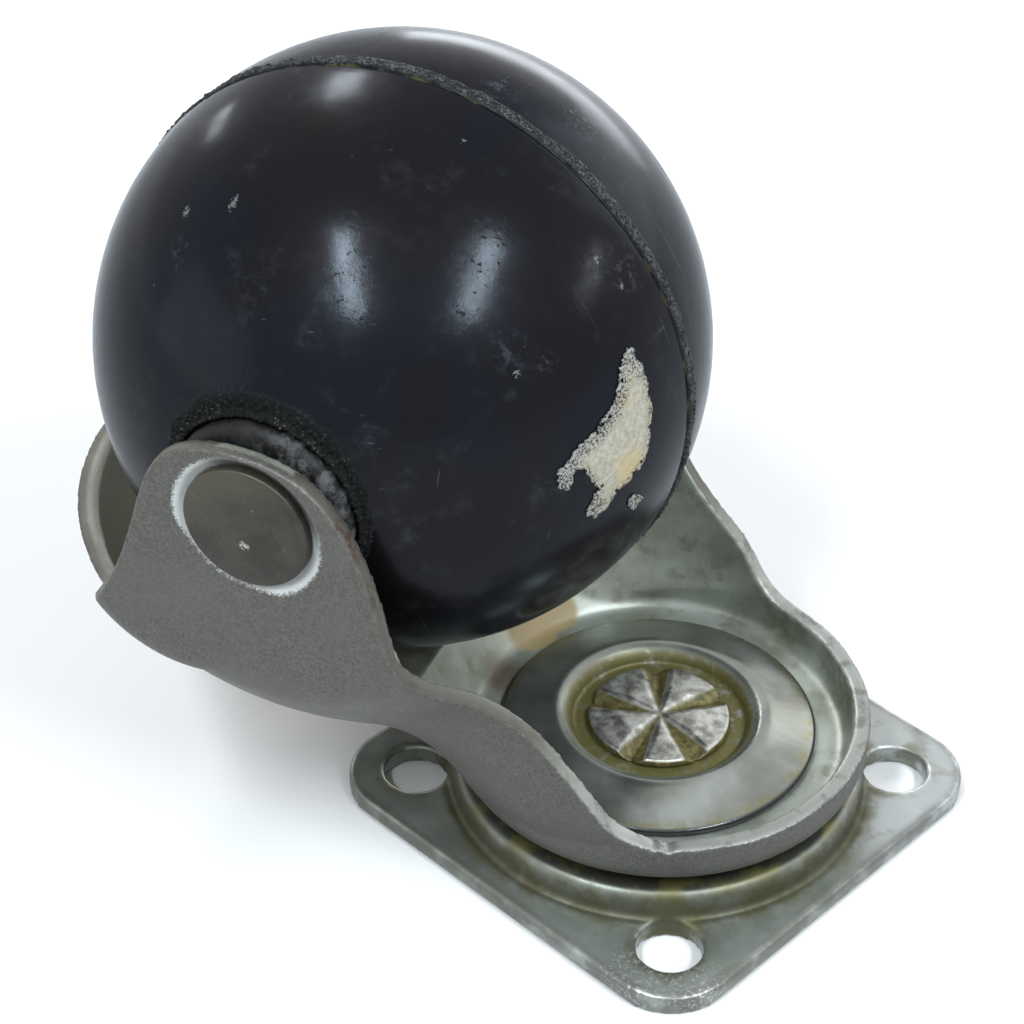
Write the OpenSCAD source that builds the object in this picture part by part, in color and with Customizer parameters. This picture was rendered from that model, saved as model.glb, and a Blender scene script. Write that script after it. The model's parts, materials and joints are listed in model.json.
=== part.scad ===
// Swivel ball caster on a square top plate, standing plate down with its ball up.
// The origin is the centre of the plate's mounting face, and +Z points to the ball.
// The fork trails along its own X axis and its axle runs along its own Y axis.

/* [Ball wheel] */
// Diameter of the moulded ball
ball_d = 50; // [44:1:56]
// Diameter of the hub bush where it shows between ball and leg
hub_d = 15.2; // [13:0.2:18]
// Height that each hub face stands beyond the ball's pole
hub_proud = 0; // [0:0.1:2]
// Thickness of the hub bush's flange
hub_flange_t = 1.4; // [1:0.1:2.5]
// Depth that a hub bush reaches into the ball
hub_depth = 11; // [6:1:16]
// Wall of the hub bush's barrel
hub_wall = 1.5; // [1:0.1:2.5]
// Width of the raised flash left on the mould's parting line
seam_w = 1.1; // [0.6:0.1:2]
// Height of that flash over the ball
seam_h = 0.3; // [0.1:0.1:0.6]
// Width of the flash ring round the hub
hub_flash_w = 0.9; // [0.4:0.1:1.5]
// Height of the flash ring round the hub
hub_flash_h = 0.5; // [0.2:0.1:0.8]

/* [Axle] */
// Diameter of the rivet that is the axle
axle_d = 6; // [5:0.1:7]
// Diameter of the rivet's flat head
axle_head_d = 10.5; // [9:0.1:13]
// Thickness of the flat head
axle_head_t = 0.9; // [0.6:0.1:1.5]
// Diameter of the end that is peened over
axle_tail_d = 9.4; // [8:0.1:11]
// Height of the peened end over its seat
axle_tail_h = 1.9; // [1:0.1:2.5]
// Wall of the sleeve that the ball turns on
sleeve_wall = 0.95; // [0.6:0.05:1.5]

/* [Fork] */
// Thickness of the fork's pressed sheet
fork_t = 1.5; // [1.2:0.1:1.8]
// Distance from the kingpin to the axle, square to both
trail = 23.9; // [22:0.1:26]
// Gap between the ball and the hood's inner face
hood_gap = 4.7; // [4:0.1:6]
// Gap between a hub face and the leg beside it
side_gap = 0.5; // [0.3:0.1:1]
// Height of the hood's underside over the dish's underside
hood_lift = 3.8; // [2:0.1:5]
// Outer radius of the bend between cheek and hood
cheek_bend_r = 8; // [4:0.5:12]
// Radius of the flat lobe that fills out each cheek's rear corner
lobe_r = 8.3; // [7:0.1:9]
// Outer bend radius round that lobe
lobe_bend_r = 3; // [2.2:0.1:4]
// Distance of the lobe's centre behind the axle and below it
lobe_set = 6.4; // [5.5:0.1:7]
// Outer radius of the neck between hood and dish
neck_r = 18.6; // [18:0.1:19.4]
// Radius of the hollow sweep from the neck to the hood
neck_sweep_r = 14; // [8:0.5:16]
// Depth of the leg's sharp rear corner below the axle
rim_drop = 12.6; // [11:0.1:14]
// Further drop of the hood's rear rim, from the corners to its middle
rim_sag = 2.1; // [0:0.1:3]
// Distance from the axle back to that corner
leg_rear = 14.4; // [13:0.1:15]
// Distance from the axle forward to the leg's front edge, at its foot
leg_front = 12; // [11:0.1:12.5]
// Height of the leg's top above the axle
leg_top = 7; // [6.8:0.1:8]
// Depth of the recess that holds the axle's head
recess_depth = 0.7; // [0.4:0.1:0.9]
// Width of that recess's sloping edge
recess_edge_w = 0.7; // [0.4:0.1:1]
// Gap round the axle's head inside the recess
recess_gap = 0.15; // [0.1:0.05:0.3]
// Angle that the fork points to, seen from above
swivel_rest = 200; // [0:5:355]

/* [Dish] */
// Outer radius of the dish round the kingpin
dish_r = 17.9; // [17:0.1:18.6]
// Outer bend radius at the dish's foot
dish_bend_r = 2.8; // [1.8:0.1:3]
// Height of the dish's low front rim over its underside
dish_rim_h = 4.7; // [3.5:0.1:6]

/* [Top plate] */
// Width of the plate's margin beyond the centre of each screw hole
hole_margin = 5.8; // [5:0.1:8]
// Thickness of the plate
plate_t = 1.8; // [1.5:0.1:2.2]
// Corner radius of the plate
plate_corner_r = 5.8; // [4:0.1:8]
// Gap between a screw hole and the raceway's foot
hole_gap = 0.1; // [0.1:0.1:2]
// Diameter of a screw hole
hole_d = 5.5; // [4:0.1:5.6]
// Radius of the raised raceway in the plate's middle
boss_r = 17.6; // [17:0.1:17.7]
// Height of the raceway over the plate
boss_h = 2.5; // [2.3:0.1:2.8]
// Width of the slope at the raceway's edge
boss_edge_w = 0.3; // [0.1:0.1:0.4]
// Outer bend radius at the raceway's edge
boss_bend_r = 0.9; // [0.5:0.1:1.2]

/* [Swivel bearing] */
// Diameter of a ball in the race between plate and fork
upper_ball_d = 3; // [2.8:0.1:3.2]
// Number of balls in that race
upper_balls = 16; // [12:1:20]
// Radius of that race
upper_race_r = 13; // [12.8:0.1:13.2]
// Depth of the fork's groove over those balls
upper_coin = 0.4; // [0.2:0.1:0.6]
// Diameter of a ball in the race between fork and cup washer
lower_ball_d = 2; // [1.8:0.1:2.2]
// Number of balls in that race
lower_balls = 16; // [10:1:20]
// Radius of that race
lower_race_r = 9; // [8.8:0.1:9.2]
// Depth of the fork's groove under those balls
lower_coin = 0.45; // [0.25:0.05:0.6]
// Clearance between each ball and its grooves
ball_clear = 0.05; // [0.03:0.01:0.1]
// Height gap between the plate's middle and the fork
plate_gap = 0.7; // [0.5:0.1:1]
// Thickness of the cup washer
cup_t = 0.6; // [0.5:0.1:0.8]
// Outer radius of the cup washer
cup_r = 13.4; // [12.6:0.1:14]
// Height gap between the fork's dish and the cup washer
cup_gap = 0.3; // [0.25:0.05:0.5]

/* [Kingpin] */
// Diameter of the kingpin where the fork turns on it
pin_d = 8; // [7:0.1:9]
// Diameter of its neck through the cup washer
pin_neck_d = 6; // [5:0.1:6.4]
// Diameter of its head under the plate
pin_head_d = 15; // [13:0.5:16]
// Thickness of that head
pin_head_t = 1.8; // [1.2:0.1:2]
// Radius of its star-staked end
star_r = 6.1; // [5.4:0.1:6.4]
// Height of the staked end over the cup washer
star_h = 1.05; // [0.8:0.05:1.4]
// Half-width of the grooves between its petals, at their wide ends
star_groove_w = 1.8; // [0.8:0.1:1.8]
// Number of petals in the star
star_petals = 5; // [4:1:6]
// Angle of the first petal, seen from above
star_turn = 28; // [0:1:71]
// Running clearance round a turning shaft, on the radius
run_clear = 0.05; // [0.02:0.01:0.1]

/* [Hidden] */
$fn = 96;

// Heights over the mounting face, from the plate up to the star
boss_z = plate_t + boss_h;
dish_z = boss_z + plate_gap;
dish_floor_z = dish_z + fork_t;
cup_z = dish_floor_z + cup_gap;
cup_floor_z = cup_z + cup_t;
pin_head_z = boss_z - plate_t - pin_head_t;

// The balls' centres follow from the grooves that hold them
upper_ball_z = dish_z + upper_coin - ball_clear - upper_ball_d / 2;
lower_ball_z = dish_floor_z - lower_coin + ball_clear + lower_ball_d / 2;
upper_groove_r = upper_ball_d / 2 + ball_clear;
lower_groove_r = lower_ball_d / 2 + ball_clear;

// The screw holes stand clear of the raceway, and the plate reaches past them
hole_pitch = sqrt(2) * (boss_r + boss_edge_w + hole_gap + hole_d / 2);
plate_w = hole_pitch + 2 * hole_margin;

// The hood wraps the ball, and its cheeks stand beside the hub faces
hub_face = ball_d / 2 + hub_proud;
hub_seat = hub_face - hub_flange_t;
leg_inner = hub_face + side_gap;
leg_outer = leg_inner + fork_t;
hood_r = ball_d / 2 + hood_gap + fork_t;
axle_z = dish_z + hood_lift + hood_r;
recess_floor = leg_outer - recess_depth;

// The neck runs from the hood's centre to this point inside the dish
neck_x = 1;
neck_z = dish_z + 9;

// The staking tool left the star's grooves uneven: the extra turn of each, in degrees
star_nudge = [4, -2, -2, 8, -8, 0];

// The back of the plate's raceway stops this far above the mounting face
race_rise = 0.4;

// The sleeve and the bushes that turn on it
sleeve_d = axle_d + 2 * sleeve_wall;
bush_bore_d = sleeve_d + 2 * run_clear;
bush_d = bush_bore_d + 2 * hub_wall;

// A cutting tool passes a face by this much
past = 1;
// A blank reaches this far beyond the fork
reach = 80;

FIXED_NODES = ["top_plate", "kingpin", "cup_washer", "fork", "axle_rivet", "axle_sleeve",
    "ball_wheel", "hub_bush_near", "hub_bush_far"];

// Points along an arc, and along a cubic curve with two handles
function arc(c, r, from, to, steps = 6) =
    [for (i = [0:steps]) let (a = from + (to - from) * i / steps) c + r * [cos(a), sin(a)]];
function curve(p, steps = 8) =
    [for (i = [0:steps]) let (t = i / steps, u = 1 - t)
        u * u * u * p[0] + 3 * u * u * t * p[1] + 3 * u * t * t * p[2] + t * t * t * p[3]];

// Where a line from the washer's edge at height z touches the bead of radius r
function skirt_angle(z, r) =
    let (v = [cup_r - lower_race_r, z - lower_ball_z]) atan2(v[1], v[0]) + acos(r / norm(v));

// Moves the fork's own frame to where it stands at rest
module on_fork() {
    rotate([0, 0, swivel_rest]) children();
}

// Puts the local Z axis on the axle, with zero at the ball's centre
module on_axle() {
    on_fork() translate([trail, 0, axle_z]) rotate([-90, 0, 0]) children();
}

// A ring cut by a ball groove
module groove(race_r, groove_r, z) {
    translate([0, 0, z])
        rotate_extrude() translate([race_r, 0]) circle(r = groove_r, $fn = 48);
}

// ---- Top plate ----

module plate_blank() {
    side = plate_w / 2 - plate_corner_r;
    linear_extrude(plate_t) union() {
        square([plate_w, 2 * side], center = true);
        square([2 * side, plate_w], center = true);
        for (x = [-side, side], y = [-side, side]) translate([x, y]) circle(r = plate_corner_r);
    }
}

// The raised raceway, filled, its faces drawn in by the sheet's thickness or not at all
module raceway_blank(skin) {
    r = boss_r - skin;
    bend = max(boss_bend_r - skin, 0.2);
    foot = r + boss_edge_w;
    top = boss_z - skin;
    rotate_extrude() polygon(concat(
        [[0, -past], [foot, -past], [foot, plate_t - skin]],
        arc([r - bend, top - bend], bend, 0, 90),
        [[0, top]]));
}

// The rounded back of the ball groove, standing down into the hollow
module raceway_back() {
    translate([0, 0, upper_ball_z]) rotate_extrude() intersection() {
        translate([upper_race_r, 0]) circle(r = upper_groove_r + 0.9 * plate_t, $fn = 48);
        translate([0, -upper_ball_z + race_rise]) square([reach, reach]);
    }
}

module top_plate() {
    color("darkseagreen") difference() {
        union() {
            difference() {
                union() {
                    plate_blank();
                    intersection() {
                        raceway_blank(0);
                        cylinder(r = reach, h = reach);
                    }
                }
                raceway_blank(plate_t);
            }
            intersection() {
                raceway_back();
                raceway_blank(plate_t / 2);
            }
        }
        groove(upper_race_r, upper_groove_r, upper_ball_z);
        translate([0, 0, -past]) cylinder(d = pin_d, h = boss_z + 2 * past);
        for (x = [-1, 1], y = [-1, 1])
            translate([x * hole_pitch / 2, y * hole_pitch / 2, -past])
                cylinder(d = hole_d, h = boss_z + 2 * past);
    }
}

// ---- Kingpin ----

// A staked end: a low button split into petals by grooves that deepen and widen outwards
module star_head() {
    edge = star_h * 0.45;
    start = star_h * 0.75;
    difference() {
        rotate_extrude() polygon(concat(
            [[0, 0]],
            arc([star_r - edge, edge], edge, -90, 60, 6),
            [[star_r * 0.55, star_h], [0, star_h * 0.85]]));
        for (i = [0:star_petals - 1])
            rotate([0, 0, star_turn + star_nudge[i] + (i + 0.5) * 360 / star_petals])
                translate([0, 0, start]) rotate([0, atan(0.9 * start / star_r), 0])
                    translate([-0.1 * star_r, 0, 0]) rotate([90, 0, 90]) linear_extrude(2 * star_r)
                        polygon([[0, 0], [-2 * star_groove_w, 2 * star_h], [2 * star_groove_w, 2 * star_h]]);
    }
}

module kingpin() {
    color("lightsteelblue") {
        translate([0, 0, pin_head_z]) cylinder(d = pin_head_d, h = pin_head_t);
        translate([0, 0, pin_head_z + pin_head_t])
            cylinder(d = pin_d, h = cup_z - pin_head_z - pin_head_t);
        translate([0, 0, cup_z]) cylinder(d = pin_neck_d, h = cup_t);
        translate([0, 0, cup_floor_z]) star_head();
    }
}

// ---- Cup washer ----

// Pressed washer: a flat middle, a bead over the balls and a skirt that slopes to its edge
module cup_washer() {
    bead = lower_groove_r + cup_t;
    c = [lower_race_r, lower_ball_z];
    color("silver") rotate_extrude() polygon(concat(
        [[pin_neck_d / 2, cup_z], [lower_race_r - lower_groove_r, cup_z]],
        arc(c, lower_groove_r, 180, skirt_angle(cup_z, lower_groove_r), 8),
        [[cup_r, cup_z], [cup_r, cup_floor_z]],
        arc(c, bead, skirt_angle(cup_floor_z, bead), 170, 8),
        [[lower_race_r - bead, cup_floor_z], [pin_neck_d / 2, cup_floor_z]]));
}

// ---- Fork ----

// The hood: a bowl round the ball with flat cheeks, filled, its faces drawn in by skin
module hood(skin) {
    r = hood_r - skin;
    half = leg_outer - skin;
    bend = cheek_bend_r - skin;
    flat_r = sqrt(pow(r - bend, 2) - pow(half - bend, 2));
    far = 3 * hood_r;
    translate([trail, 0, axle_z]) rotate([90, 0, 0]) union() {
        rotate_extrude() union() {
            translate([0, -half]) square([flat_r, 2 * half]);
            intersection() {
                translate([0, -half]) square([far, 2 * half]);
                union() for (s = [-1, 1]) translate([flat_r, s * (half - bend)]) circle(r = bend);
            }
            intersection() {
                circle(r = r, $fn = 160);
                polygon([[0, 0], far * [flat_r, half - bend] / r, [far, 0], far * [flat_r, bend - half] / r]);
            }
        }
        cheek_lobe(skin);
    }
}

// The lobe keeps the cheek flat out to its sharp rear corner
module cheek_lobe(skin) {
    r = lobe_r + lobe_bend_r - skin;
    bend = lobe_bend_r - skin;
    half = leg_outer - skin;
    translate([lobe_set, -lobe_set, 0]) rotate_extrude() polygon(concat(
        [[0, -half]],
        arc([r - bend, -half + bend], bend, -90, 0),
        arc([r - bend, half - bend], bend, 0, 90),
        [[0, half]]));
}

// The neck: a round bar from dish to hood that swells into the hood in a hollow sweep, filled
module neck(skin) {
    v = [trail - neck_x, axle_z - neck_z];
    long = norm(v);
    r = neck_r - skin;
    big = hood_r - skin;
    sweep = neck_sweep_r + skin;
    swell = sqrt(pow(big + sweep, 2) - pow(r + sweep, 2));
    intersection() {
        translate([trail, 0, axle_z]) rotate([0, atan2(-v[0], -v[1]), 0]) union() {
            rotate_extrude() polygon(concat(
                [[0, 0]],
                arc([r + sweep, swell], sweep, 180 + atan2(swell, r + sweep), 180, 10),
                [[r, long], [0, long]]));
            translate([0, 0, long]) sphere(r = r);
        }
        pan(skin);
        cube([2 * reach, 2 * (leg_outer - skin), 2 * reach], center = true);
    }
}

// The space over the dish's floor: a round bend that runs on up the neck's slope, filled
module pan(skin) {
    rise = atan2(axle_z - neck_z, trail - neck_x);
    foot = dish_z + skin;
    bend = dish_bend_r - skin;
    edge = dish_r - skin - bend + bend * sin(rise);
    lip = foot + bend - bend * cos(rise);
    rotate_extrude() polygon(concat(
        [[0, foot]],
        arc([dish_r - skin - bend, foot + bend], bend, -90, rise - 90),
        [[edge + reach, lip + reach * tan(rise)], [0, lip + reach * tan(rise)]]));
}

// The dish: a plain cup round the kingpin, filled
module dish(skin) {
    r = dish_r - skin;
    bend = dish_bend_r - skin;
    rotate_extrude() polygon(concat(
        [[0, dish_z + skin]],
        arc([r - bend, dish_z + skin + bend], bend, -90, 0),
        [[r, neck_z + skin], [0, neck_z + skin]]));
}

module fork_blank(skin) {
    hood(skin);
    neck(skin);
    dish(skin);
}

// Side outline of the pressing: low rim, ogee up to the leg, lopsided top and sharp rear corner
module fork_outline() {
    axle = [trail, axle_z];
    front_z = dish_z + dish_rim_h;
    rim = [-0.42 * dish_r, front_z];
    heel = [-0.1 * dish_r, dish_z + 7.8];
    knee = axle + [-leg_front, -11];
    brow = axle + [-5.2, leg_top - 2.1];
    shoulder = axle + [7.2, leg_top - 2.7];
    corner = axle + [leg_rear, -rim_drop];
    polygon(concat(
        [[-reach, 0], [-reach, front_z]],
        curve([rim, rim + [3.2, 0], heel - [1.1, 1.9], heel], 8),
        curve([heel, heel + [2.4, 3.8], knee - [1.9, 4.8], knee], 10),
        curve([knee, knee + [1, 4.2], brow - [4.7, 3.6], brow], 12),
        curve([brow, brow + [2.9, 2.2], shoulder + [-2.5, 2.7], shoulder], 12),
        curve([shoulder, shoulder + [2.8, -3.1], corner + [-4.7, 7], corner], 12),
        [corner + [2, -0.65 * rim_sag], corner + [5, -rim_sag], [reach, corner[1] - rim_sag], [reach, 0]]));
}

module fork() {
    color("gray") on_fork() difference() {
        intersection() {
            difference() {
                fork_blank(0);
                fork_blank(fork_t);
            }
            rotate([90, 0, 0]) linear_extrude(2 * reach, center = true) fork_outline();
        }
        translate([0, 0, dish_z - past]) cylinder(r = pin_d / 2 + run_clear, h = fork_t + 2 * past);
        groove(upper_race_r, upper_groove_r, upper_ball_z);
        groove(lower_race_r, lower_groove_r, lower_ball_z);
        translate([trail, 0, axle_z]) rotate([-90, 0, 0]) {
            cylinder(d = axle_d, h = 2 * reach, center = true);
            for (side = [0, 1]) mirror([0, 0, side]) translate([0, 0, recess_floor])
                cylinder(r1 = axle_head_d / 2 + recess_gap,
                    r2 = axle_head_d / 2 + recess_gap + recess_edge_w * (recess_depth + past) / recess_depth,
                    h = recess_depth + past);
        }
    }
}

// ---- Axle ----

module axle_rivet() {
    dome = axle_tail_d * 0.36;
    color("dimgray") on_axle() {
        translate([0, 0, -recess_floor]) cylinder(d = axle_d, h = 2 * recess_floor);
        translate([0, 0, recess_floor]) cylinder(d = axle_head_d, h = axle_head_t);
        translate([0, 0, -recess_floor]) mirror([0, 0, 1]) rotate_extrude() polygon(concat(
            [[0, 0], [axle_tail_d / 2, 0]],
            arc([dome, axle_tail_h - (axle_tail_d / 2 - dome)], axle_tail_d / 2 - dome, 0, 90, 5),
            [[0, axle_tail_h]]));
    }
}

module axle_sleeve() {
    color("lightgray") on_axle() difference() {
        cylinder(d = sleeve_d, h = 2 * leg_inner, center = true);
        cylinder(d = axle_d, h = 2 * leg_inner + 2 * past, center = true);
    }
}

// ---- Ball wheel ----

module ball_wheel() {
    color([0.08, 0.08, 0.1]) on_axle() difference() {
        union() {
            intersection() {
                sphere(d = ball_d, $fn = 160);
                cube([ball_d + past, ball_d + past, 2 * hub_seat], center = true);
            }
            cylinder(r = ball_d / 2 + seam_h, h = seam_w, center = true, $fn = 160);
            for (side = [0, 1]) mirror([0, 0, side]) translate([0, 0, hub_seat - hub_flash_h])
                cylinder(r1 = hub_d / 2 + hub_flash_w, r2 = hub_d / 2 + hub_flash_w / 2,
                    h = 2 * hub_flash_h);
        }
        cylinder(d = bush_d, h = ball_d + 2 * past, center = true);
        for (side = [0, 1]) mirror([0, 0, side]) translate([0, 0, hub_seat])
            cylinder(d = hub_d, h = ball_d);
    }
}

// A flanged bush pressed into one side of the ball
module hub_bush(side) {
    color([0.16, 0.17, 0.2]) on_axle() mirror([0, 0, side]) difference() {
        union() {
            translate([0, 0, hub_seat - hub_depth]) cylinder(d = bush_d, h = hub_depth);
            translate([0, 0, hub_seat]) cylinder(d = hub_d, h = hub_flange_t);
        }
        translate([0, 0, hub_seat - hub_depth - past])
            cylinder(d = bush_bore_d, h = hub_depth + hub_flange_t + 2 * past);
    }
}

// ---- Race balls ----

module race_ball(i, count, race_r, d, z) {
    color("gainsboro") rotate([0, 0, (i - 1) * 360 / count]) translate([race_r, 0, z])
        sphere(d = d, $fn = 48);
}

top_plate();
kingpin();
cup_washer();
fork();
axle_rivet();
axle_sleeve();
ball_wheel();
hub_bush(0);  // hub_bush_near
hub_bush(1);  // hub_bush_far
for (i = [1:upper_balls])
    race_ball(i, upper_balls, upper_race_r, upper_ball_d, upper_ball_z);
for (i = [1:lower_balls])
    race_ball(i, lower_balls, lower_race_r, lower_ball_d, lower_ball_z);
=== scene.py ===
# %% [markdown]
# A light swivel caster: a square plate, a hooded fork of pressed steel that turns on
# a staked kingpin, and a solid black ball in place of a wheel. It stands on its plate
# with the ball up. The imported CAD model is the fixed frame. Places and overall sizes
# are read from it, so each dressed piece lands where its solid is, and the few lengths
# that it doesn't give are typed in as the solids have them.

# %% The frame
import json
import math
import bmesh
import bpy
import numpy as np
from mathutils import Matrix, Vector, kdtree, noise


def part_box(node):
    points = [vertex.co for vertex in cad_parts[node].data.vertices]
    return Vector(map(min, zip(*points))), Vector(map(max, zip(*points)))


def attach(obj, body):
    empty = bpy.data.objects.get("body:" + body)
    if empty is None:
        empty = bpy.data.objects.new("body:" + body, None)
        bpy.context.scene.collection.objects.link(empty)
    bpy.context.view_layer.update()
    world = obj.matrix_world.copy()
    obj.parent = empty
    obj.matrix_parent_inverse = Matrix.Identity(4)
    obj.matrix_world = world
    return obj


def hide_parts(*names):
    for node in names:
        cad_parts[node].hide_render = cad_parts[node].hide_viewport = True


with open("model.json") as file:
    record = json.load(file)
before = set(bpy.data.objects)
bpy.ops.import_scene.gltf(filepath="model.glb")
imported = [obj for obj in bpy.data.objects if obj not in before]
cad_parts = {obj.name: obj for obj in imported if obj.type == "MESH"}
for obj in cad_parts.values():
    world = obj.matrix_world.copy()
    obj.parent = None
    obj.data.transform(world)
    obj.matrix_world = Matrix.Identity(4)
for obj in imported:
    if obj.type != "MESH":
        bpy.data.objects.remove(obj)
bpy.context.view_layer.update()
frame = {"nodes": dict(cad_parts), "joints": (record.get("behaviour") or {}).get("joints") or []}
nodes = frame["nodes"]
joints = {j["name"]: j for j in frame["joints"]}
MM = 0.001
print(f"{len(nodes)} solids and {len(joints)} joints to dress")

# %% [markdown]
# Three directions are used again and again: the kingpin's axis, which is the row's Z,
# the axle's axis, and the way the fork trails. The last two come from the joint that
# the ball spins on, because its place and axis are in the record.

# %% Axle, ball centre and trailing direction
ball_centre = Vector(joints["wheel_spin"]["pos_m"])
axle = Vector(joints["wheel_spin"]["axis"]).normalized()
fork_turn = math.atan2(ball_centre.y, ball_centre.x)
TRAIL = math.hypot(ball_centre.x, ball_centre.y) / MM
AXLE_Z = ball_centre.z / MM
low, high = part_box("ball_wheel")
FLASH_H = 0.3 * MM  # the moulding flash stands this far over the ball
ball_r = (high.z - low.z) / 2 - FLASH_H
BALL_R_MM = 25  # the same radius as a round number, for placing marks on the ball
fork_to_row = Matrix.Rotation(fork_turn, 3, "Z")
print(f"ball radius {ball_r / MM:.2f} mm, fork turned {math.degrees(fork_turn):.1f} degrees")

# %% [markdown]
# The camera looks down on the caster from the side of the near leg, from very close,
# so the ball looms over the plate. A long lens on a near camera gives that strong
# perspective with a narrow view.

# %% Camera
EYE = (0.1161365, -0.1413362, 0.1751178)
LONG_LENS, SENSOR = 101.67, 36
camera = bpy.data.objects.new("camera", bpy.data.cameras.new("camera"))
bpy.context.scene.collection.objects.link(camera)
bpy.context.scene.camera = camera
camera.data.lens = LONG_LENS
camera.data.sensor_width = SENSOR
camera.data.clip_start = 0.01
forward = Vector((-0.5380917, 0.5679494, -0.6228088))
right = Vector((0.7174639, 0.6964295, 0.0152139))
up = right.cross(forward)
camera.matrix_world = Matrix((
    (right.x, up.x, -forward.x, EYE[0]),
    (right.y, up.y, -forward.y, EYE[1]),
    (right.z, up.z, -forward.z, EYE[2]),
    (0, 0, 0, 1)))
print(f"camera {(Vector(EYE) - ball_centre).length / MM:.0f} mm from the ball's centre")

# %% [markdown]
# A pale floor a hair below the plate, and a world that is white to the eye and to
# reflections but softer as light. That keeps the background bright without bleaching
# the metal.

# %% World and floor
WHITE = (1, 1, 1, 1)
SOFT_LIGHT = 0.4  # strength of the world as light, where the eye sees 1
FLOOR_HALF, FLOOR_DROP = 1.5, 0.0002
FLOOR_GREY = (0.8, 0.8, 0.8, 1)


def feed(tree, socket, value):
    """Links another node's output into a socket, or sets a plain value on it."""
    if isinstance(value, bpy.types.NodeSocket):
        tree.links.new(value, socket)
    else:
        socket.default_value = value


def node_of(tree, kind, how=None, **inputs):
    """Adds a node, says how it works, and feeds its inputs by name, with _ for a space."""
    n = tree.nodes.new(kind)
    if how:
        n.operation = how
    for key, value in inputs.items():
        feed(tree, n.inputs[key.replace("_", " ")], value)
    return n


def sum_of(tree, kind, how, *values):
    """A Math or Vector Math node on one or more values."""
    n = node_of(tree, kind, how)
    for socket, value in zip(n.inputs, values):
        feed(tree, socket, value)
    return n


def backdrop_light(tree, low_value):
    """1 for the camera, mirrors and glass, and low_value for everything else."""
    path = tree.nodes.new("ShaderNodeLightPath")
    seen = path.outputs["Is Camera Ray"]
    for ray in ("Is Glossy Ray", "Is Transmission Ray"):
        seen = sum_of(tree, "ShaderNodeMath", "MAXIMUM", seen, path.outputs[ray]).outputs[0]
    return node_of(tree, "ShaderNodeMapRange", Value=seen, To_Min=low_value, To_Max=1).outputs[0]


world = bpy.data.worlds.new("studio")
bpy.context.scene.world = world
world.use_nodes = True
background = world.node_tree.nodes["Background"]
background.inputs["Color"].default_value = WHITE
feed(world.node_tree, background.inputs["Strength"], backdrop_light(world.node_tree, SOFT_LIGHT))

bm = bmesh.new()
bmesh.ops.create_grid(bm, x_segments=1, y_segments=1, size=FLOOR_HALF)
bmesh.ops.translate(bm, verts=bm.verts, vec=(0, 0, -FLOOR_DROP))
floor_mesh = bpy.data.meshes.new("floor")
bm.to_mesh(floor_mesh)
bm.free()
floor = bpy.data.objects.new("floor", floor_mesh)
bpy.context.scene.collection.objects.link(floor)
floor_paint = bpy.data.materials.new("floor")
floor_paint.use_nodes = True
floor_shader = floor_paint.node_tree.nodes["Principled BSDF"]
floor_shader.inputs["Base Color"].default_value = FLOOR_GREY
floor_shader.inputs["Roughness"].default_value = 0.9
floor_mesh.materials.append(floor_paint)
print(f"floor {2 * FLOOR_HALF:.0f} m wide, {FLOOR_DROP / MM:.1f} mm under the plate")

# %% [markdown]
# The lamps hang close over the caster, so a wide floor would fall off to grey behind
# it. Past a forearm's length it shines white by itself, for the eye and for
# reflections only, which adds no light to the object and leaves its shadow alone.

# %% Floor that stays white into the distance
GLOW_FROM, GLOW_TO = 0.3, 0.8  # metres from the caster
paint = floor_paint.node_tree
floor_place = node_of(paint, "ShaderNodeTexCoord").outputs["Object"]
spread = sum_of(paint, "ShaderNodeVectorMath", "LENGTH", floor_place).outputs["Value"]
far_off = node_of(paint, "ShaderNodeMapRange", Value=spread, From_Min=GLOW_FROM, From_Max=GLOW_TO)
glow = sum_of(paint, "ShaderNodeMath", "MULTIPLY", backdrop_light(paint, 0), far_off.outputs[0])
floor_paint.cycles.emission_sampling = "NONE"
floor_shader.inputs["Emission Color"].default_value = WHITE
paint.links.new(glow.outputs[0], floor_shader.inputs["Emission Strength"])
print(f"the floor glows from {GLOW_FROM} m and is white from {GLOW_TO} m")

# %% [markdown]
# Two tall windows give the ball its pair of long highlights. Smaller ones give the
# short glints near its edge, and a low strip and a fill reach under it. Each lamp's
# direction is the mirror direction of the highlight that it has to make.

# %% Lamps
WINDOW_BLUE = (0.87, 0.95, 1)


def softbox(name, towards, long_way, distance, width, length, watts, colour=(1, 1, 1)):
    """An area lamp that faces the ball from a direction, with its long side turned one way."""
    lamp = bpy.data.lights.new(name, "AREA")
    lamp.shape = "RECTANGLE"
    lamp.size, lamp.size_y = width, length
    lamp.energy = watts
    lamp.color = colour
    obj = bpy.data.objects.new(name, lamp)
    bpy.context.scene.collection.objects.link(obj)
    back = Vector(towards).normalized()
    across = Vector(long_way).cross(back).normalized()
    along = back.cross(across)
    obj.matrix_world = Matrix.Translation(ball_centre + back * distance) @ Matrix(
        (across, along, back)).transposed().to_4x4()
    print(f"{name}: {watts} W, {width * 100:.1f} by {length * 100:.1f} cm")


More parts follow.
